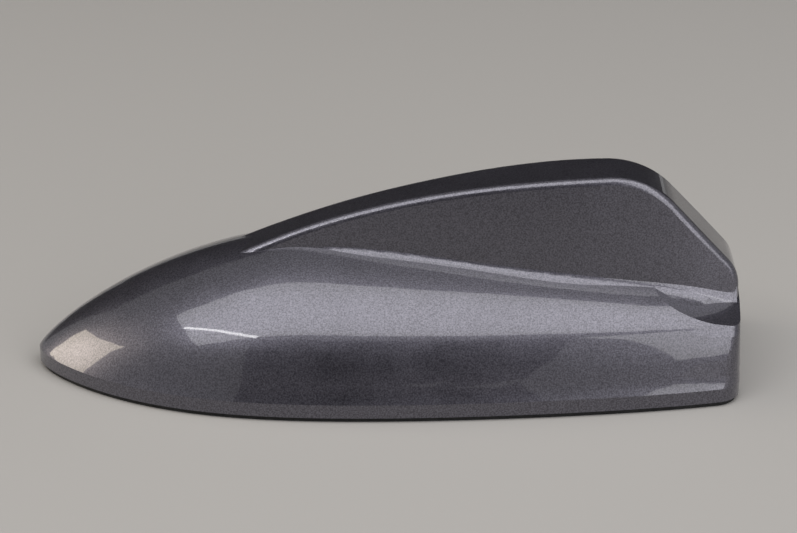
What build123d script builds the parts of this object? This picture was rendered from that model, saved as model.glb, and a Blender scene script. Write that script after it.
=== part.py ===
import os
from math import radians, tan

from build123d import *

os.makedirs("parts", exist_ok=True)

# All lengths in millimetres, angles in degrees. Nose at -X, tail at +X, roof sheet at Z = 0.

# Cover, outside
LENGTH = 165.0
WIDTH = 64.4
RIM_LIFT = 1.2
SKIRT = 3.3
CREST = 33.8
CREST_FROM_NOSE = 72.0
WIDEST_FROM_NOSE = 78.0
WIDEST_DRIFT = 14.0
FLANK_FLARE = 1.4
FLARE_SHARPNESS = 12
ARCH_POWER = 2.3
ARCH_ROOT = 0.78
NOSE_POWER = 1.2
NOSE_ROOT = 0.5
TAPER_OVERRUN = 26.5
TAPER_PULL = 320.0
TAPER_FROM = 0.45
TAPER_POWER = 1.5
TAIL_RADIUS = 170.0
TAIL_LEAN = 2.0

# Fin of the cover
FIN_START = 44.0
FIN_START_HEIGHT = 28.6
FIN_PEAK = 50.0
FIN_PEAK_FROM_TAIL = 22.6
FIN_DRAFT = 10.0
FIN_TAIL_INSET = 0.9
FIN_TAIL_TOP = 26.6
PEAK_RADIUS = 20.0
TAIL_TOP_RADIUS = 9.0
SHOULDER_LENGTH = 11.0
SHOULDER_DROP = 0.4
RIDGE_EDGE_RADIUS = 1.8
EDGE_CLEAR = 1.0
EDGE_TOLERANCE = 0.02
SHELF_SLOPE = 13.0

# Cover, inside
WALL = 2.4
CAVITY_SKIRT_DROP = 0.5
BOSS_RADIUS = 3.5
BOSS_BORE_RADIUS = 1.35
BOSS_BORE_DEPTH = 8.0

# Base and what hangs under it
BASE_THICKNESS = 2.2
BASE_FIT = 0.3
SEAL_EDGE_INSET = 0.8
SEAL_WIDTH = 5.7
SCREW_SPOTS = ((22.0, 0.0), (66.0, 20.5), (66.0, -20.5), (140.0, 17.0), (140.0, -17.0))
SCREW_RADIUS = 1.3
SCREW_LENGTH = 8.0
SCREW_HEAD_RADIUS = 2.5
SCREW_HEAD_HEIGHT = 1.2
SCREW_DRIVE_RADIUS = 1.1
SCREW_DRIVE_DEPTH = 0.7
SCREW_HOLE_FIT = 0.3
HEAD_POCKET_FIT = 0.3
FIXING_FROM_NOSE = 84.0
FIXING_BOSS_RADIUS = 7.5
FIXING_BOSS_TOP = 6.4
INSERT_RADIUS = 5.0
INSERT_COLLAR_RADIUS = 6.4
INSERT_COLLAR_HEIGHT = 0.9
THREAD_CORE_RADIUS = 2.5
EARTH_OUTER_RADIUS = 7.0
EARTH_INNER_RADIUS = 4.0
EARTH_THICKNESS = 0.6
EARTH_TEETH = 8
EARTH_TOOTH_RADIUS = 0.9
EARTH_TOOTH_DROP = 0.4
HOLE_SEAL_FROM_NOSE = 98.0
HOLE_SEAL_LENGTH = 62.0
HOLE_SEAL_WIDTH = 30.0
HOLE_SEAL_BAND = 3.0
HOLE_SEAL_CORNER = 9.0
VENT_FROM_NOSE = 132.0
VENT_RADIUS = 3.0
VENT_CAP_RADIUS = 4.2
VENT_CAP_HEIGHT = 1.2
VENT_HOLE_RADIUS = 0.8

# Connector
CONNECTOR_FROM_NOSE = 106.0
CONNECTOR_LENGTH = 26.0
CONNECTOR_WIDTH = 13.0
CONNECTOR_CORNER = 1.5
CONNECTOR_FIT = 0.3
SOCKET_SPACING = 12.0
SOCKET_RADIUS = 4.4
SOCKET_DEPTH = 5.9
SLEEVE_WALL = 0.5
SLEEVE_RECESS = 0.3
PIN_RADIUS = 0.5
PIN_REACH = 1.4
PIN_HOLE_FIT = 0.05

# Circuit board and what stands on it
BOARD_LEVEL = 8.0
BOARD_THICKNESS = 1.6
BOARD_FRONT = 32.0
BOARD_END = 150.0
BOARD_HALF_WIDTH = 16.0
BOARD_TAIL_HALF_WIDTH = 12.0
BOARD_TAIL_START = 132.0
BOARD_NECK_START = 128.0
BOARD_CORNER = 4.0
POST_RADIUS = 3.0
POST_SPOTS = ((37.0, 12.0), (37.0, -12.0), (113.0, 13.0), (113.0, -13.0), (145.0, 8.5), (145.0, -8.5))
BOARD_SCREW_RADIUS = 1.2
BOARD_SCREW_REACH = 3.6
BOARD_SCREW_HEAD_RADIUS = 2.3
BOARD_SCREW_HEAD_HEIGHT = 1.4
POST_BORE_FIT = 0.05
POST_BORE_DEPTH = 4.2
BOARD_HOLE_FIT = 0.3
PATCH_FROM_NOSE = 58.0
PATCH_SIDE = 25.0
PATCH_HEIGHT = 4.0
PATCH_BEVEL = 0.6
PATCH_PIN_RADIUS = 0.5
PATCH_PIN_HEAD_RADIUS = 1.1
PATCH_PIN_HEAD_HEIGHT = 0.4
PATCH_PIN_TAIL = 1.0
PATCH_PIN_OFFSET = 2.0
SHIELD_FROM_NOSE = 90.0
SHIELD_LENGTH = 26.0
SHIELD_WIDTH = 24.0
SHIELD_HEIGHT = 5.0
SHIELD_SHEET = 0.4
SHIELD_CORNER = 1.0

# Elements that stand in the fin
CARRIER_WEB = 2.0
CARRIER_FRONT = 106.0
CARRIER_REAR = 136.0
CARRIER_FOOT_WIDTH = 10.0
CARRIER_FOOT_HEIGHT = 1.6
CARRIER_ARM_DEPTH = 4.0
CARRIER_ARM_ROOT = 30.0
TOP_SHEET = 0.6
TOP_FRONT = 97.0
TOP_REAR = 132.0
TOP_FRONT_HEIGHT = 40.6
TOP_REAR_HEIGHT = 44.6
TOP_WIDTH = 6.0
TOP_SKIRT = 6.0
COIL_FROM_NOSE = 113.0
COIL_LOW = 14.0
COIL_HIGH = 32.0
COIL_CORE_RADIUS = 3.0
COIL_FLANGE_RADIUS = 4.8
COIL_FLANGE = 1.0
COIL_WIRE_HEIGHT = 1.2
COIL_TURNS = 12
COIL_WINDOW_HALF = 5.1
PHONE_FRONT = 139.5
PHONE_REAR = 149.0
PHONE_HEIGHT = 18.0
PHONE_SHEET = 0.5
PHONE_FOOT_WIDTH = 5.0
PHONE_SLOT_WIDTH = 2.0
PHONE_SLOT_LENGTH = 12.0
PHONE_CORNER = 3.0

BASE_TOP = RIM_LIFT + BASE_THICKNESS
BOARD_TOP = BOARD_LEVEL + BOARD_THICKNESS

SKIRT_TOP = RIM_LIFT + SKIRT
# Shares of the dome's rise at which its level outlines are drawn
RISES = [step / 25 for step in range(25)]
# Curve handles of half a teardrop: shares of the way forward or back, shares of half the width
TEARDROP = ((-1.0, 0.0), (-1.0, 0.39), (-0.5, 1.137), (-0.4, 1.304), (0.2, 0.751), (1.0, 1.18), (1.0, 0.0))
# Levels of the tail corners: height, corner radius
TAIL_CORNERS = ((-3.0, 7.0), (4.5, 7.0), (7.0, 6.4), (10.0, 5.5), (13.0, 4.6), (16.0, 3.6), (19.0, 3.0))
TAIL_INNER_CORNER = 2.5
TAIL_CORNER_PROBE = 5.0
TAIL_CORNER_MARGIN = 0.05
TAIL_CORNER_LEAST = 0.8
TAIL_BLOCK_MARGIN = 9.0
# Ridge line between its two ends: distance from nose, height
RIDGE_POINTS = ((62.0, 36.2), (92.0, 44.7))
RIDGE_START_SLOPE = 0.46
RIDGE_END_SLOPE = 0.04
# How far the cavity's fin follows each step in, as shares of the step
PEAK_SETBACK = 0.5
TAIL_SETBACK = 1.3
TAIL_TOP_DROP = 0.4
# Shelf line at the middle: distance behind the tail, height
SHELF_LINE = ((-32.0, 33.0), (-21.0, 27.2), (-11.0, 24.0), (7.0, 21.2))
# Fin sections: distance from nose, half thickness at FIN_GAUGE, foot height, foot slope, foot radius
FIN_GAUGE = 30.0
FIN_SECTIONS = (
    (38.0, 4.3, 22.0, 36.0, 1.5),
    (60.0, 6.1, 30.4, 36.0, 1.6),
    (74.0, 7.0, 32.0, 35.0, 2.0),
    (85.0, 7.8, 31.2, 33.0, 2.2),
    (106.0, 9.6, 29.1, 33.0, 2.5),
    (LENGTH - 38.0, 10.7, 26.9, 34.0, 2.8),
    (LENGTH - 28.0, 10.4, 25.6, 30.0, 3.0),
    (LENGTH - 18.0, 9.8, 24.0, 25.0, 4.2),
    (LENGTH - 9.0, 8.6, 21.6, 23.0, 6.4),
    (LENGTH + 3.0, 6.6, 20.1, 22.0, 7.4),
)
FOOT_REACH = 6.0
FOOT_SETBACK = 0.4
FOOT_CLIMB = 0.7
FOOT_CLIMB_MARGIN = 0.2
FOOT_LEAN = 4.0
FIN_ROOT = 6.0
FIN_OVERRUN = 3.0
FIN_TIP_HALF = 0.5


def from_nose(distance):
    """X of a point so far behind the nose."""
    return distance - LENGTH / 2


def teardrop(rise, inset):
    """Level outline of the dome at a share of its rise, set in for the cavity."""
    flare = FLANK_FLARE * (1 - (1 - rise) ** FLARE_SHARPNESS)
    half = (WIDTH / 2 - flare) * (1 - rise**ARCH_POWER) ** ARCH_ROOT - inset
    nose = CREST_FROM_NOSE * (1 - (1 - rise**NOSE_POWER) ** NOSE_ROOT) + inset
    widest = WIDEST_FROM_NOSE - WIDEST_DRIFT * rise
    end = LENGTH + TAPER_OVERRUN - TAPER_PULL * max(0.0, rise - TAPER_FROM) ** TAPER_POWER - inset
    handles = []
    for along, out in TEARDROP:
        reach = widest - nose if along < 0 else end - widest
        handles.append((from_nose(widest + along * reach), out * half))
    with BuildSketch() as outline:
        with BuildLine():
            Bezier(*handles)
            mirror(about=Plane.XZ)
        make_face()
    return outline.sketch


def rim_face(inset):
    """Outline of the rim with its bowed tail and rounded corners, set in for what fits inside."""
    with BuildSketch() as face:
        add(teardrop(0.0, inset))
        with Locations((from_nose(LENGTH) - TAIL_RADIUS, 0)):
            Circle(TAIL_RADIUS - inset, mode=Mode.INTERSECT)
        corners = [corner for corner in face.vertices() if corner.X > 0 and abs(corner.Y) > WIDTH / 5]
        fillet(corners, max(TAIL_CORNERS[0][1] - inset, TAIL_INNER_CORNER))
    return face.sketch


def dome(inset):
    """Teardrop dome with its upright skirt; the tail is still long."""
    skirt_top = SKIRT_TOP - (CAVITY_SKIRT_DROP if inset else 0.0)
    with BuildPart() as body:
        for rise in RISES:
            with BuildSketch(Plane.XY.offset(skirt_top + rise * (CREST - inset - skirt_top))):
                add(teardrop(rise, inset))
        loft()
        with BuildSketch(Plane.XY.offset(RIM_LIFT - inset)):
            add(teardrop(0.0, inset))
        extrude(amount=skirt_top - RIM_LIFT + inset)
    return body.part


def tail_block(body, inset):
    """Block whose rear end trims the dome to its bowed tail with rounded corners."""
    front = from_nose(-TAIL_BLOCK_MARGIN)
    with BuildPart() as block:
        for height, corner in TAIL_CORNERS:
            level = max(height, SKIRT_TOP - SKIRT / 2)
            probe = Axis((from_nose(LENGTH - TAIL_CORNER_PROBE - inset), 0, level), (0, 1, 0))
            hits = body.find_intersection_points(probe)
            point, normal = max(hits, key=lambda hit: hit[0].Y)
            narrowing = normal.X / normal.Y
            tail = from_nose(LENGTH) - max(0.0, height - SKIRT_TOP) * tan(radians(TAIL_LEAN))
            rear = tail + TAIL_BLOCK_MARGIN
            side = point.Y + TAIL_CORNER_MARGIN
            at_front = side + narrowing * (point.X - front)
            at_rear = side + narrowing * (point.X - rear)
            with BuildSketch(Plane.XY.offset(height)) as outline:
                with BuildLine():
                    Polyline((front, 0), (front, at_front), (rear, at_rear), (rear, 0))
                    mirror(about=Plane.XZ)
                make_face()
                with Locations((tail - TAIL_RADIUS, 0)):
                    Circle(TAIL_RADIUS - inset, mode=Mode.INTERSECT)
                corners = [spot for spot in outline.vertices() if spot.X > 0 and abs(spot.Y) > WIDTH / 8]
                fillet(corners, max(corner - inset, TAIL_CORNER_LEAST))
        loft(ruled=True)
        extrude(block.faces().sort_by(Axis.Z)[-1], amount=CREST)
    return block.part


def fin_section(distance, half, inset):
    """Upright section of the fin: two drafted walls."""
    draft = tan(radians(FIN_DRAFT))
    top = min(FIN_PEAK + FIN_OVERRUN, FIN_GAUGE + (half - inset - FIN_TIP_HALF) / draft)
    at_top = half - inset + (FIN_GAUGE - top) * draft
    at_root = half - inset + (FIN_GAUGE - FIN_ROOT) * draft
    plane = Plane((from_nose(distance), 0, 0), x_dir=(0, 1, 0), z_dir=(1, 0, 0))
    with BuildSketch(plane) as section:
        with BuildLine():
            Polyline((0, FIN_ROOT), (at_root, FIN_ROOT), (at_top, top), (0, top))
            mirror(about=Plane.YZ)
        make_face()
    return section.sketch


def fin_foot():
    """Hollow-curved foot that runs the fin's walls out on to the dome and the shelf."""
    with BuildPart() as body:
        for distance, half, foot, slope, radius in FIN_SECTIONS:
            at_foot = half + (FIN_GAUGE - foot) * tan(radians(FIN_DRAFT))
            low = foot - FOOT_REACH * tan(radians(slope))
            climb = FOOT_CLIMB * radius + FOOT_CLIMB_MARGIN
            high = foot + climb
            at_high = at_foot - climb * tan(radians(FIN_DRAFT + FOOT_LEAN))
            with BuildSketch(Plane((from_nose(distance), 0, 0), x_dir=(0, 1, 0), z_dir=(1, 0, 0))):
                with BuildLine():
                    FilletPolyline(
                        (0, FIN_ROOT),
                        (at_foot + FOOT_REACH, FIN_ROOT),
                        (at_foot + FOOT_REACH, low),
                        (at_foot, foot),
                        (at_high, high),
                        (0, high),
                        radius=(0, 0, radius, 0),
                    )
                    mirror(about=Plane.YZ)
                make_face()
        loft()
        extrude(fin_profile(FOOT_SETBACK), amount=WIDTH, both=True, mode=Mode.INTERSECT)
    return body.part


def fin_profile(inset):
    """Side view of the fin: ridge, rounded peak, rear slope and tail."""
    peak = (from_nose(LENGTH - FIN_PEAK_FROM_TAIL) - PEAK_SETBACK * inset, FIN_PEAK - inset)
    tail = from_nose(LENGTH - FIN_TAIL_INSET) - TAIL_SETBACK * inset
    tail_top = (tail, FIN_TAIL_TOP - TAIL_TOP_DROP * inset)
    start = (from_nose(FIN_START), FIN_START_HEIGHT - inset)
    shoulder = (peak[0] - SHOULDER_LENGTH, peak[1] - SHOULDER_DROP)
    ridge = [(from_nose(distance), height - inset) for distance, height in RIDGE_POINTS]
    with BuildSketch(Plane.XZ) as profile:
        with BuildLine():
            Spline(start, *ridge, shoulder, tangents=((1, RIDGE_START_SLOPE), (1, RIDGE_END_SLOPE)))
            Polyline(
                shoulder,
                peak,
                tail_top,
                (tail, FIN_ROOT),
                (from_nose(FIN_START), FIN_ROOT),
                start,
            )
        make_face()
        fillet(profile.vertices().sort_by_distance(peak)[0], PEAK_RADIUS - inset)
        fillet(profile.vertices().sort_by_distance(tail_top)[0], TAIL_TOP_RADIUS - inset)
    return profile.sketch


def fin(inset):
    """Blade of the fin, its outer edges rounded where it is the outside of the cover."""
    profile = fin_profile(inset)
    with BuildPart() as side:
        extrude(profile, amount=WIDTH, both=True)
    with BuildPart() as blade:
        for distance, half, *_ in FIN_SECTIONS:
            add(fin_section(distance, half, inset))
        loft()
        add(side.part, mode=Mode.INTERSECT)
        if not inset:
            edges = []
            for edge in blade.edges():
                middle = edge @ 0.5
                beside = abs(middle.Y) > EDGE_CLEAR and middle.X > from_nose(FIN_START)
                on_profile = profile.wire().distance_to(Vector(middle.X, 0, middle.Z)) < EDGE_TOLERANCE
                if beside and on_profile and middle.Z > FIN_ROOT + EDGE_CLEAR:
                    edges.append(edge)
            fillet(edges, RIDGE_EDGE_RADIUS)
    return blade.part


def shelf_cut(inset):
    """Region cleared above the shelf that flanks the fin at the tail."""
    line = [(from_nose(LENGTH + behind), height - inset) for behind, height in SHELF_LINE]
    with BuildPart() as cut:
        with BuildSketch(Plane.XZ):
            with BuildLine():
                Spline(*line)
                Polyline(line[-1], (line[-1][0], FIN_PEAK), (line[0][0], FIN_PEAK), line[0])
            make_face()
        extrude(amount=WIDTH, dir=(0, 1, -tan(radians(SHELF_SLOPE))))
        mirror(about=Plane.XZ)
    return cut.part


def cover_form(inset):
    """Solid shape of the cover, or of its cavity where it is set in by the wall."""
    body = dome(inset)
    with BuildPart() as form:
        add(body)
        add(shelf_cut(inset), mode=Mode.SUBTRACT)
        if not inset:
            add(fin_foot())
        add(tail_block(body, inset), mode=Mode.INTERSECT)
        add(fin(inset))
    return form.part


def spots(places, height):
    """Places given from the nose, at one height."""
    return [(from_nose(distance), side, height) for distance, side in places]


STAND = (Align.CENTER, Align.CENTER, Align.MIN)
HANG = (Align.CENTER, Align.CENTER, Align.MAX)

# Cover
with BuildPart() as cavity:
    add(cover_form(WALL))
    with Locations(*spots(SCREW_SPOTS, BASE_TOP)):
        Cylinder(BOSS_RADIUS, CREST, align=STAND, mode=Mode.SUBTRACT)

with BuildPart() as outer_shell:
    add(cover_form(0.0))
    add(cavity.part, mode=Mode.SUBTRACT)
    with Locations(*spots(SCREW_SPOTS, BASE_TOP)):
        Cylinder(BOSS_BORE_RADIUS, BOSS_BORE_DEPTH, align=STAND, mode=Mode.SUBTRACT)

# Soft strip between the rim and the roof
with BuildPart() as rim_seal:
    with BuildSketch():
        add(rim_face(SEAL_EDGE_INSET))
        add(rim_face(SEAL_EDGE_INSET + SEAL_WIDTH), mode=Mode.SUBTRACT)
    extrude(amount=RIM_LIFT)

# Cast base
with BuildPart() as base_plate:
    with BuildSketch(Plane.XY.offset(RIM_LIFT)):
        add(rim_face(WALL + BASE_FIT))
    extrude(amount=BASE_THICKNESS)
    with Locations((from_nose(FIXING_FROM_NOSE), 0, RIM_LIFT)):
        Cylinder(FIXING_BOSS_RADIUS, FIXING_BOSS_TOP - RIM_LIFT, align=STAND)
        Cylinder(INSERT_RADIUS, FIXING_BOSS_TOP - RIM_LIFT, align=STAND, mode=Mode.SUBTRACT)
    with Locations(*spots(POST_SPOTS, BASE_TOP)):
        Cylinder(POST_RADIUS, BOARD_LEVEL - BASE_TOP, align=STAND)
    with Locations(*spots(POST_SPOTS, BOARD_LEVEL)):
        Cylinder(
            BOARD_SCREW_RADIUS + POST_BORE_FIT,
            POST_BORE_DEPTH,
            align=HANG,
            mode=Mode.SUBTRACT,
        )
    with Locations(*spots(SCREW_SPOTS, RIM_LIFT)):
        Cylinder(SCREW_RADIUS + SCREW_HOLE_FIT, BASE_THICKNESS, align=STAND, mode=Mode.SUBTRACT)
        Cylinder(
            SCREW_HEAD_RADIUS + HEAD_POCKET_FIT, SCREW_HEAD_HEIGHT, align=STAND, mode=Mode.SUBTRACT
        )
    with BuildSketch(Plane.XY.offset(RIM_LIFT)):
        with Locations((from_nose(CONNECTOR_FROM_NOSE), 0)):
            RectangleRounded(
                CONNECTOR_LENGTH + 2 * CONNECTOR_FIT,
                CONNECTOR_WIDTH + 2 * CONNECTOR_FIT,
                CONNECTOR_CORNER + CONNECTOR_FIT,
            )
    extrude(amount=BASE_THICKNESS, mode=Mode.SUBTRACT)
    with Locations((from_nose(VENT_FROM_NOSE), 0, RIM_LIFT)):
        Cylinder(VENT_RADIUS, BASE_THICKNESS, align=STAND, mode=Mode.SUBTRACT)

# Screws from below into the bosses of the cover
with BuildPart() as base_screws:
    with Locations(*spots(SCREW_SPOTS, RIM_LIFT)):
        Cylinder(SCREW_HEAD_RADIUS, SCREW_HEAD_HEIGHT, align=STAND)
        Cylinder(SCREW_RADIUS, SCREW_LENGTH, align=STAND)
    with BuildSketch(Plane.XY.offset(RIM_LIFT)):
        with Locations(*[(from_nose(distance), side) for distance, side in SCREW_SPOTS]):
            RegularPolygon(SCREW_DRIVE_RADIUS, 6)
    extrude(amount=SCREW_DRIVE_DEPTH, mode=Mode.SUBTRACT)

# Threaded bush for the roof bolt
with BuildPart() as fixing_insert:
    with Locations((from_nose(FIXING_FROM_NOSE), 0, RIM_LIFT)):
        Cylinder(INSERT_RADIUS, FIXING_BOSS_TOP - RIM_LIFT, align=STAND)
    with Locations((from_nose(FIXING_FROM_NOSE), 0, FIXING_BOSS_TOP)):
        Cylinder(INSERT_COLLAR_RADIUS, INSERT_COLLAR_HEIGHT, align=STAND)
    with Locations((from_nose(FIXING_FROM_NOSE), 0, RIM_LIFT)):
        Cylinder(
            THREAD_CORE_RADIUS,
            FIXING_BOSS_TOP + INSERT_COLLAR_HEIGHT - RIM_LIFT,
            align=STAND,
            mode=Mode.SUBTRACT,
        )

# Toothed ring that bites the roof sheet round the bolt
with BuildPart(Plane((from_nose(FIXING_FROM_NOSE), 0, RIM_LIFT))) as earth_contact:
    Cylinder(EARTH_OUTER_RADIUS, EARTH_THICKNESS, align=HANG)
    Cylinder(EARTH_INNER_RADIUS, EARTH_THICKNESS, align=HANG, mode=Mode.SUBTRACT)
    with Locations((0, 0, -EARTH_THICKNESS)):
        with PolarLocations((EARTH_OUTER_RADIUS + EARTH_INNER_RADIUS) / 2, EARTH_TEETH):
            Cone(0, EARTH_TOOTH_RADIUS, EARTH_TOOTH_DROP, align=HANG)

# Soft ring round the hole in the roof
with BuildPart() as hole_seal:
    with BuildSketch():
        with Locations((from_nose(HOLE_SEAL_FROM_NOSE), 0)):
            RectangleRounded(HOLE_SEAL_LENGTH, HOLE_SEAL_WIDTH, HOLE_SEAL_CORNER)
            RectangleRounded(
                HOLE_SEAL_LENGTH - 2 * HOLE_SEAL_BAND,
                HOLE_SEAL_WIDTH - 2 * HOLE_SEAL_BAND,
                HOLE_SEAL_CORNER - HOLE_SEAL_BAND,
                mode=Mode.SUBTRACT,
            )
    extrude(amount=RIM_LIFT)

# Breather pressed into the base from above
with BuildPart(Plane((from_nose(VENT_FROM_NOSE), 0, RIM_LIFT))) as vent_plug:
    Cylinder(VENT_RADIUS, BASE_THICKNESS, align=STAND)
    with Locations((0, 0, BASE_THICKNESS)):
        Cylinder(VENT_CAP_RADIUS, VENT_CAP_HEIGHT, align=STAND)
    Cylinder(VENT_HOLE_RADIUS, BASE_THICKNESS + VENT_CAP_HEIGHT, align=STAND, mode=Mode.SUBTRACT)

# Connector block with its sockets open to the roof hole
with BuildPart(Plane((from_nose(CONNECTOR_FROM_NOSE), 0, RIM_LIFT))) as connector_housing:
    with BuildSketch(Plane((from_nose(CONNECTOR_FROM_NOSE), 0, RIM_LIFT))):
        RectangleRounded(CONNECTOR_LENGTH, CONNECTOR_WIDTH, CONNECTOR_CORNER)
    extrude(amount=BOARD_LEVEL - RIM_LIFT)
    with GridLocations(SOCKET_SPACING, 0, 2, 1):
        Cylinder(SOCKET_RADIUS, SOCKET_DEPTH, align=STAND, mode=Mode.SUBTRACT)
        Cylinder(PIN_RADIUS + PIN_HOLE_FIT, BOARD_LEVEL - RIM_LIFT, align=STAND, mode=Mode.SUBTRACT)

with BuildPart(Plane((from_nose(CONNECTOR_FROM_NOSE), 0, RIM_LIFT + SLEEVE_RECESS))) as connector_sleeves:
    with GridLocations(SOCKET_SPACING, 0, 2, 1):
        Cylinder(SOCKET_RADIUS, SOCKET_DEPTH - SLEEVE_RECESS, align=STAND)
        Cylinder(
            SOCKET_RADIUS - SLEEVE_WALL, SOCKET_DEPTH - SLEEVE_RECESS, align=STAND, mode=Mode.SUBTRACT
        )

with BuildPart(Plane((from_nose(CONNECTOR_FROM_NOSE), 0, BOARD_LEVEL))) as connector_pins:
    with GridLocations(SOCKET_SPACING, 0, 2, 1):
        Cylinder(PIN_RADIUS, BOARD_LEVEL - RIM_LIFT - SOCKET_DEPTH + PIN_REACH, align=HANG)

# Circuit board
with BuildPart() as main_board:
    with BuildSketch(Plane.XY.offset(BOARD_LEVEL)) as board_face:
        with BuildLine():
            Polyline(
                (from_nose(BOARD_FRONT), 0),
                (from_nose(BOARD_FRONT), BOARD_HALF_WIDTH),
                (from_nose(BOARD_NECK_START), BOARD_HALF_WIDTH),
                (from_nose(BOARD_TAIL_START), BOARD_TAIL_HALF_WIDTH),
                (from_nose(BOARD_END), BOARD_TAIL_HALF_WIDTH),
                (from_nose(BOARD_END), 0),
            )
            mirror(about=Plane.XZ)
        make_face()
        fillet(board_face.vertices().group_by(Axis.X)[0], BOARD_CORNER)
    extrude(amount=BOARD_THICKNESS)
    with Locations(*spots(POST_SPOTS, BOARD_LEVEL)):
        Cylinder(BOARD_SCREW_RADIUS + BOARD_HOLE_FIT, BOARD_THICKNESS, align=STAND, mode=Mode.SUBTRACT)
    with Locations((from_nose(PATCH_FROM_NOSE) + PATCH_PIN_OFFSET, 0, BOARD_LEVEL)):
        Cylinder(PATCH_PIN_RADIUS + PIN_HOLE_FIT, BOARD_THICKNESS, align=STAND, mode=Mode.SUBTRACT)

with BuildPart() as board_screws:
    with Locations(*spots(POST_SPOTS, BOARD_TOP)):
        Cylinder(BOARD_SCREW_HEAD_RADIUS, BOARD_SCREW_HEAD_HEIGHT, align=STAND)
        Cylinder(BOARD_SCREW_RADIUS, BOARD_THICKNESS + BOARD_SCREW_REACH, align=HANG)

# Square ceramic patch for satellite signals, and its feed pin
with BuildPart(Plane((from_nose(PATCH_FROM_NOSE), 0, BOARD_TOP))) as patch_antenna:
    Box(PATCH_SIDE, PATCH_SIDE, PATCH_HEIGHT, align=STAND)
    chamfer(patch_antenna.edges().filter_by(Axis.Z), PATCH_BEVEL)
    with Locations((PATCH_PIN_OFFSET, 0, 0)):
        Cylinder(PATCH_PIN_RADIUS + PIN_HOLE_FIT, PATCH_HEIGHT, align=STAND, mode=Mode.SUBTRACT)

PATCH_PIN_PLACE = Plane((from_nose(PATCH_FROM_NOSE) + PATCH_PIN_OFFSET, 0, BOARD_TOP + PATCH_HEIGHT))
with BuildPart(PATCH_PIN_PLACE) as patch_pin:
    Cylinder(PATCH_PIN_HEAD_RADIUS, PATCH_PIN_HEAD_HEIGHT, align=STAND)
    Cylinder(PATCH_PIN_RADIUS, PATCH_HEIGHT + BOARD_THICKNESS + PATCH_PIN_TAIL, align=HANG)

# Folded can over the amplifier
with BuildPart() as shield_can:
    with BuildSketch(Plane((from_nose(SHIELD_FROM_NOSE), 0, BOARD_TOP))):
        RectangleRounded(SHIELD_LENGTH, SHIELD_WIDTH, SHIELD_CORNER)
    extrude(amount=SHIELD_HEIGHT)
    with BuildSketch(Plane((from_nose(SHIELD_FROM_NOSE), 0, BOARD_TOP))):
        RectangleRounded(
            SHIELD_LENGTH - 2 * SHIELD_SHEET, SHIELD_WIDTH - 2 * SHIELD_SHEET, SHIELD_CORNER - SHIELD_SHEET
        )
    extrude(amount=SHIELD_HEIGHT - SHIELD_SHEET, mode=Mode.SUBTRACT)


def top_height(distance):
    """Height of the top load's upper side at a distance from the nose."""
    share = (distance - TOP_FRONT) / (TOP_REAR - TOP_FRONT)
    return TOP_FRONT_HEIGHT + share * (TOP_REAR_HEIGHT - TOP_FRONT_HEIGHT)


# Plastic frame that stands on the board and reaches up into the fin
with BuildPart() as element_carrier:
    with BuildSketch(Plane.XZ):
        with BuildLine():
            Polyline(
                (from_nose(CARRIER_FRONT), BOARD_TOP),
                (from_nose(CARRIER_REAR), BOARD_TOP),
                (from_nose(TOP_REAR), top_height(TOP_REAR) - TOP_SHEET),
                (from_nose(TOP_FRONT), top_height(TOP_FRONT) - TOP_SHEET),
                (from_nose(TOP_FRONT), top_height(TOP_FRONT) - TOP_SHEET - CARRIER_ARM_DEPTH),
                (from_nose(CARRIER_FRONT), CARRIER_ARM_ROOT),
                close=True,
            )
        make_face()
        with Locations((from_nose(COIL_FROM_NOSE), (COIL_LOW + COIL_HIGH) / 2)):
            Rectangle(2 * COIL_WINDOW_HALF, COIL_HIGH - COIL_LOW, mode=Mode.SUBTRACT)
    extrude(amount=CARRIER_WEB / 2, both=True)
    with Locations((from_nose((CARRIER_FRONT + CARRIER_REAR) / 2), 0, BOARD_TOP)):
        Box(CARRIER_REAR - CARRIER_FRONT, CARRIER_FOOT_WIDTH, CARRIER_FOOT_HEIGHT, align=STAND)

# Folded sheet over the top of the frame
with BuildPart() as top_load:
    with BuildSketch(Plane.XZ):
        with BuildLine():
            Polyline(
                (from_nose(TOP_FRONT), TOP_FRONT_HEIGHT - TOP_SKIRT),
                (from_nose(TOP_REAR), TOP_REAR_HEIGHT - TOP_SKIRT),
                (from_nose(TOP_REAR), TOP_REAR_HEIGHT),
                (from_nose(TOP_FRONT), TOP_FRONT_HEIGHT),
                close=True,
            )
        make_face()
    extrude(amount=TOP_WIDTH / 2, both=True)
    with BuildSketch(Plane.XZ):
        with BuildLine():
            Polyline(
                (from_nose(TOP_FRONT), TOP_FRONT_HEIGHT - TOP_SKIRT),
                (from_nose(TOP_REAR), TOP_REAR_HEIGHT - TOP_SKIRT),
                (from_nose(TOP_REAR), TOP_REAR_HEIGHT - TOP_SHEET),
                (from_nose(TOP_FRONT), TOP_FRONT_HEIGHT - TOP_SHEET),
                close=True,
            )
        make_face()
    extrude(amount=TOP_WIDTH / 2 - TOP_SHEET, both=True, mode=Mode.SUBTRACT)

# Loading coil: a spool in the frame's window, and its turns as one solid
with BuildPart(Plane((from_nose(COIL_FROM_NOSE), 0, COIL_LOW))) as coil_former:
    Cylinder(COIL_CORE_RADIUS, COIL_HIGH - COIL_LOW, align=STAND)
    Cylinder(COIL_FLANGE_RADIUS, COIL_FLANGE, align=STAND)
    with Locations((0, 0, COIL_HIGH - COIL_LOW)):
        Cylinder(COIL_FLANGE_RADIUS, COIL_FLANGE, align=HANG)

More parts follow.
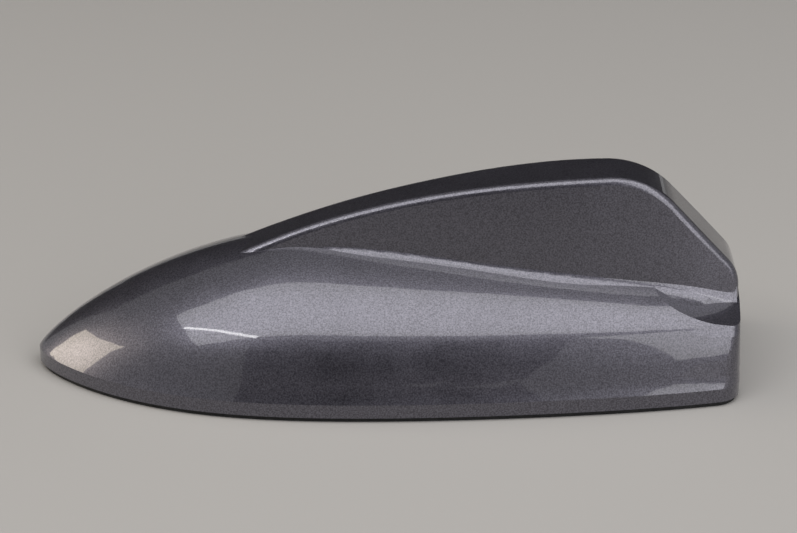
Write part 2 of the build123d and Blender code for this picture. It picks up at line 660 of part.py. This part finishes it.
COIL_PITCH = (COIL_HIGH - COIL_LOW - 2 * COIL_FLANGE) / COIL_TURNS
turns = [(COIL_CORE_RADIUS, COIL_LOW + COIL_FLANGE)]
for turn in range(COIL_TURNS):
    start_level = COIL_LOW + COIL_FLANGE + turn * COIL_PITCH
    turns.append((COIL_CORE_RADIUS + COIL_WIRE_HEIGHT / 2, start_level))
    turns.append((COIL_CORE_RADIUS + COIL_WIRE_HEIGHT, start_level + COIL_PITCH / 2))
turns.append((COIL_CORE_RADIUS + COIL_WIRE_HEIGHT / 2, COIL_HIGH - COIL_FLANGE))
turns.append((COIL_CORE_RADIUS, COIL_HIGH - COIL_FLANGE))
with BuildPart() as coil_winding:
    with BuildSketch(Plane((from_nose(COIL_FROM_NOSE), 0, 0), x_dir=(1, 0, 0), z_dir=(0, -1, 0))):
        with BuildLine():
            Polyline(*turns, close=True)
        make_face()
    revolve(axis=Axis((from_nose(COIL_FROM_NOSE), 0, 0), (0, 0, 1)))

# Stamped upright sheet for phone signals, with its foot on the board
with BuildPart() as phone_element:
    with BuildSketch(Plane.XZ) as blank:
        with Locations((from_nose(PHONE_FRONT), BOARD_TOP)):
            Rectangle(PHONE_REAR - PHONE_FRONT, PHONE_HEIGHT, align=(Align.MIN, Align.MIN))
        fillet(blank.vertices().group_by(Axis.Y)[-1], PHONE_CORNER)
        with Locations((from_nose((PHONE_FRONT + PHONE_REAR) / 2), BOARD_TOP + PHONE_HEIGHT)):
            Rectangle(
                PHONE_SLOT_WIDTH,
                PHONE_SLOT_LENGTH,
                align=(Align.CENTER, Align.MAX),
                mode=Mode.SUBTRACT,
            )
    extrude(amount=PHONE_SHEET / 2, both=True)
    with Locations((from_nose((PHONE_FRONT + PHONE_REAR) / 2), 0, BOARD_TOP)):
        Box(PHONE_REAR - PHONE_FRONT, PHONE_FOOT_WIDTH, PHONE_SHEET, align=STAND)


def save(piece, name):
    """Write one named piece."""
    piece.part.label = name
    export_step(piece.part, f"parts/{name}.step")


save(outer_shell, "outer_shell")
save(rim_seal, "rim_seal")
save(base_plate, "base_plate")
save(base_screws, "base_screws")
save(fixing_insert, "fixing_insert")
save(earth_contact, "earth_contact")
save(hole_seal, "hole_seal")
save(connector_housing, "connector_housing")
save(connector_pins, "connector_pins")
save(connector_sleeves, "connector_sleeves")
save(main_board, "main_board")
save(board_screws, "board_screws")
save(patch_antenna, "patch_antenna")
save(patch_pin, "patch_pin")
save(shield_can, "shield_can")
save(element_carrier, "element_carrier")
save(top_load, "top_load")
save(coil_former, "coil_former")
save(coil_winding, "coil_winding")
save(phone_element, "phone_element")
save(vent_plug, "vent_plug")
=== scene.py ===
import math

import bmesh
import bpy
from mathutils import Matrix, Vector

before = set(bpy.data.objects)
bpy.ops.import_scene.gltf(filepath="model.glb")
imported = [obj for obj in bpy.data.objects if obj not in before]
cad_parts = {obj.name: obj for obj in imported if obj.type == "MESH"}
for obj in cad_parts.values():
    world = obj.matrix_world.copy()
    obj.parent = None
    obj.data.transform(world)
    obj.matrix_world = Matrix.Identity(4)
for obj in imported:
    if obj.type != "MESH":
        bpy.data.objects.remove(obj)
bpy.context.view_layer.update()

# Lengths in metres unless a name says MM, angles in degrees, lamp powers in watts
MM = 0.001
FLOOR_HALF_SIDE = 3.0

# Middle of the object, which lamps and cards face
CENTRE = (0.0, 0.0, 0.02)
WORLD_STRENGTH = 0.38
# Dark cards: name, azimuth, elevation, distance, width, height
CARDS = (
    ("flag_behind", 180, 30, 0.7, 1.8, 0.7),
    ("flag_viewer", -4, 24, 1.15, 0.75, 0.9),
)
# Soft lamps: name, azimuth, elevation, distance, width, height, power, colour
LAMPS = (
    ("overhead", 8, 72, 1.3, 2.4, 1.0, 16.5, "ffffff"),
    ("right_front", 44, 24, 1.4, 1.0, 1.0, 6.5, "ffffff"),
    ("left_window", -92, 17, 1.2, 0.6, 0.45, 4.0, "fff2dc"),
    ("left_tube", -47, 47, 1.2, 0.6, 0.035, 0.7, "ffffff"),
)

TARGET = Vector((0.0026, 0.0, 0.0247))
CAMERA_DISTANCE = 0.65
CAMERA_ELEVATION = 24.0
LENS_MM = 125.3
SENSOR_MM = 36.0
NEAR_CLIP = 0.01


# Colours and materials
def linear(code):
    """An sRGB hex colour as linear RGBA."""
    channels = [int(code[i : i + 2], 16) / 255 for i in (0, 2, 4)]
    return tuple(c / 12.92 if c <= 0.04045 else ((c + 0.055) / 1.055) ** 2.4 for c in channels) + (1.0,)


def node(tree, kind, inputs, **settings):
    """One shader node; inputs are values, or the output socket that feeds them."""
    made = tree.nodes.new(kind)
    for name, value in settings.items():
        setattr(made, name, value)
    for name, value in inputs.items():
        if isinstance(value, bpy.types.NodeSocket):
            tree.links.new(value, made.inputs[name])
        else:
            made.inputs[name].default_value = value
    return made


def material(name, colour, roughness, metallic=0.0):
    """A Principled material; returns it with its tree and shader for what the finish adds."""
    made = bpy.data.materials.new(name)
    made.use_nodes = True
    shader = made.node_tree.nodes["Principled BSDF"]
    shader.inputs["Base Color"].default_value = linear(colour)
    shader.inputs["Roughness"].default_value = roughness
    shader.inputs["Metallic"].default_value = metallic
    return made, made.node_tree, shader


def grain(tree, size_mm, detail=2.0):
    """Noise whose features are about size_mm across."""
    place = node(tree, "ShaderNodeTexCoord", {})
    noise = node(
        tree,
        "ShaderNodeTexNoise",
        {"Vector": place.outputs["Object"], "Scale": 1 / (size_mm * MM), "Detail": detail},
    )
    return noise.outputs["Fac"]


def spread(tree, factor, low, high, start=0.35, stop=0.65):
    """Map a noise on to a range of values."""
    return node(
        tree,
        "ShaderNodeMapRange",
        {"Value": factor, "From Min": start, "From Max": stop, "To Min": low, "To Max": high},
    ).outputs["Result"]


def uneven_shine(tree, shader, noise, low, high):
    """Let the roughness follow a noise."""
    tree.links.new(spread(tree, noise, low, high), shader.inputs["Roughness"])


def two_tone(tree, shader, factor, first, second):
    """Colour the shader between two hex colours."""
    tint = node(
        tree,
        "ShaderNodeMix",
        {"Factor": factor, "A": linear(first), "B": linear(second)},
        data_type="RGBA",
    )
    tree.links.new(tint.outputs["Result"], shader.inputs["Base Color"])


def bump(tree, shader, height, depth_mm, strength):
    """Feed a height into the shader's normal."""
    raised = node(tree, "ShaderNodeBump", {"Height": height, "Strength": strength, "Distance": depth_mm * MM})
    tree.links.new(raised.outputs["Normal"], shader.inputs["Normal"])


def body_paint():
    """Graphite metallic paint under clear lacquer: dark, with a fine flake mottle and crisp reflections."""
    made, tree, shader = material("graphite_metallic_paint", "56545d", 0.33, metallic=0.8)
    shader.inputs["Coat Weight"].default_value = 1.0
    shader.inputs["Coat Roughness"].default_value = 0.03
    flake = grain(tree, 0.35, 3.0)
    drift = grain(tree, 9.0, 1.0)
    two_tone(tree, shader, spread(tree, flake, 0.0, 1.0), "44424b", "686670")
    uneven_shine(tree, shader, drift, 0.3, 0.36)
    return made


def soft_rubber():
    """Black sealing rubber: dull, with a faint dusty grain."""
    made, tree, shader = material("black_rubber", "1c1c1d", 0.8)
    dust = grain(tree, 1.5)
    uneven_shine(tree, shader, dust, 0.7, 0.9)
    bump(tree, shader, dust, 0.03, 0.4)
    return made


def cast_metal():
    """Raw die-cast alloy: pale grey with a fine orange-peel skin."""
    made, tree, shader = material("die_cast_alloy", "a9abad", 0.45, metallic=1.0)
    skin = grain(tree, 1.2)
    uneven_shine(tree, shader, skin, 0.38, 0.55)
    bump(tree, shader, skin, 0.04, 0.5)
    return made


def plain_metal(name, colour, roughness):
    """Bare or plated metal with slight unevenness in its shine."""
    made, tree, shader = material(name, colour, roughness, metallic=1.0)
    uneven_shine(tree, shader, grain(tree, 2.0), roughness - 0.06, roughness + 0.08)
    return made


def moulded(name, colour, roughness):
    """Moulded plastic with a fine spark-eroded texture."""
    made, tree, shader = material(name, colour, roughness)
    bump(tree, shader, grain(tree, 0.4), 0.02, 0.4)
    return made


def board_laminate():
    """Green solder mask over glass laminate: satin, with faint darker tracks."""
    made, tree, shader = material("solder_mask_laminate", "1d5a35", 0.35)
    tracks = spread(tree, grain(tree, 3.0, 4.0), 0.0, 1.0, 0.45, 0.5)
    two_tone(tree, shader, tracks, "1d5a35", "17492b")
    return made


def fired_ceramic():
    """Fired ceramic block: tan and dull, with a fine speckle."""
    made, tree, shader = material("fired_ceramic", "b59a7c", 0.55)
    speck = spread(tree, grain(tree, 0.5), 0.0, 1.0)
    two_tone(tree, shader, speck, "b59a7c", "a48a6d")
    return made


STEEL = plain_metal("zinc_plated_steel", "b8b9b6", 0.35)
TINPLATE = plain_metal("tinned_sheet", "c6c4bd", 0.3)
BRASS = plain_metal("gold_plated_brass", "d2a850", 0.25)
BLACK_PLASTIC = moulded("black_plastic", "232325", 0.5)
RUBBER = soft_rubber()
FINISH = {
    "outer_shell": body_paint(),
    "rim_seal": RUBBER,
    "hole_seal": RUBBER,
    "base_plate": cast_metal(),
    "base_screws": STEEL,
    "fixing_insert": STEEL,
    "earth_contact": STEEL,
    "board_screws": STEEL,
    "connector_housing": BLACK_PLASTIC,
    "element_carrier": BLACK_PLASTIC,
    "connector_pins": BRASS,
    "connector_sleeves": BRASS,
    "patch_pin": BRASS,
    "main_board": board_laminate(),
    "patch_antenna": fired_ceramic(),
    "shield_can": TINPLATE,
    "top_load": TINPLATE,
    "phone_element": TINPLATE,
    "coil_former": moulded("ivory_plastic", "c9c3b4", 0.5),
    "coil_winding": plain_metal("enamelled_copper", "b5653a", 0.3),
    "vent_plug": moulded("grey_plastic", "8d8f90", 0.5),
}
for name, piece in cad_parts.items():
    piece.data.materials.clear()
    piece.data.materials.append(FINISH[name])


# Floor
def square(name, half_side, finish):
    """A flat square, level and centred on the origin."""
    mesh = bpy.data.meshes.new(name)
    bm = bmesh.new()
    bmesh.ops.create_grid(bm, x_segments=1, y_segments=1, size=half_side)
    bm.to_mesh(mesh)
    bm.free()
    mesh.materials.append(finish)
    made = bpy.data.objects.new(name, mesh)
    bpy.context.scene.collection.objects.link(made)
    return made


# Grey matt table top: an even ground that shows the contact shadow
TABLE, _, _ = material("grey_table", "a8a5a2", 0.7)
floor = square("floor", FLOOR_HALF_SIDE, TABLE)


# Light
def around(azimuth, elevation, distance):
    """A place seen from the object's centre; azimuth runs from the viewer's side towards the tail."""
    turn, rise = math.radians(azimuth), math.radians(elevation)
    level = distance * math.cos(rise)
    return Vector((level * math.sin(turn), -level * math.cos(turn), distance * math.sin(rise) + CENTRE[2]))


def facing(place, axis):
    """The turn that points an axis from a place to the object's centre."""
    return (Vector(CENTRE) - place).to_track_quat(axis, "Y")


# Matt black card, hidden from the camera, which the glossy paint mirrors as its dark areas
BLACK_CARD, _, _ = material("black_card", "0c0c0d", 0.9)
for name, azimuth, elevation, distance, width, height in CARDS:
    place = around(azimuth, elevation, distance)
    card = square(name, 0.5, BLACK_CARD)
    turned = facing(place, "Z").to_matrix().to_4x4()
    card.data.transform(Matrix.Translation(place) @ turned @ Matrix.Diagonal((width, height, 1.0, 1.0)))
    card.visible_camera = False

for name, azimuth, elevation, distance, width, height, power, colour in LAMPS:
    lamp = bpy.data.lights.new(name, "AREA")
    lamp.shape = "RECTANGLE"
    lamp.size = width
    lamp.size_y = height
    lamp.energy = power
    lamp.color = linear(colour)[:3]
    panel = bpy.data.objects.new(name, lamp)
    panel.location = around(azimuth, elevation, distance)
    panel.rotation_euler = facing(panel.location, "-Z").to_euler()
    bpy.context.scene.collection.objects.link(panel)

world = bpy.data.worlds.new("studio")
bpy.context.scene.world = world
world.use_nodes = True
background = world.node_tree.nodes["Background"]
background.inputs["Color"].default_value = (1.0, 1.0, 1.0, 1.0)
background.inputs["Strength"].default_value = WORLD_STRENGTH

# Camera
camera_data = bpy.data.cameras.new("camera")
camera_data.lens = LENS_MM
camera_data.sensor_width = SENSOR_MM
camera_data.clip_start = NEAR_CLIP
camera = bpy.data.objects.new("camera", camera_data)
rise = math.radians(CAMERA_ELEVATION)
camera.location = TARGET + CAMERA_DISTANCE * Vector((0.0, -math.cos(rise), math.sin(rise)))
camera.rotation_euler = (TARGET - camera.location).to_track_quat("-Z", "Y").to_euler()
bpy.context.scene.collection.objects.link(camera)
bpy.context.scene.camera = camera
bpy.context.scene.view_settings.view_transform = "Standard"
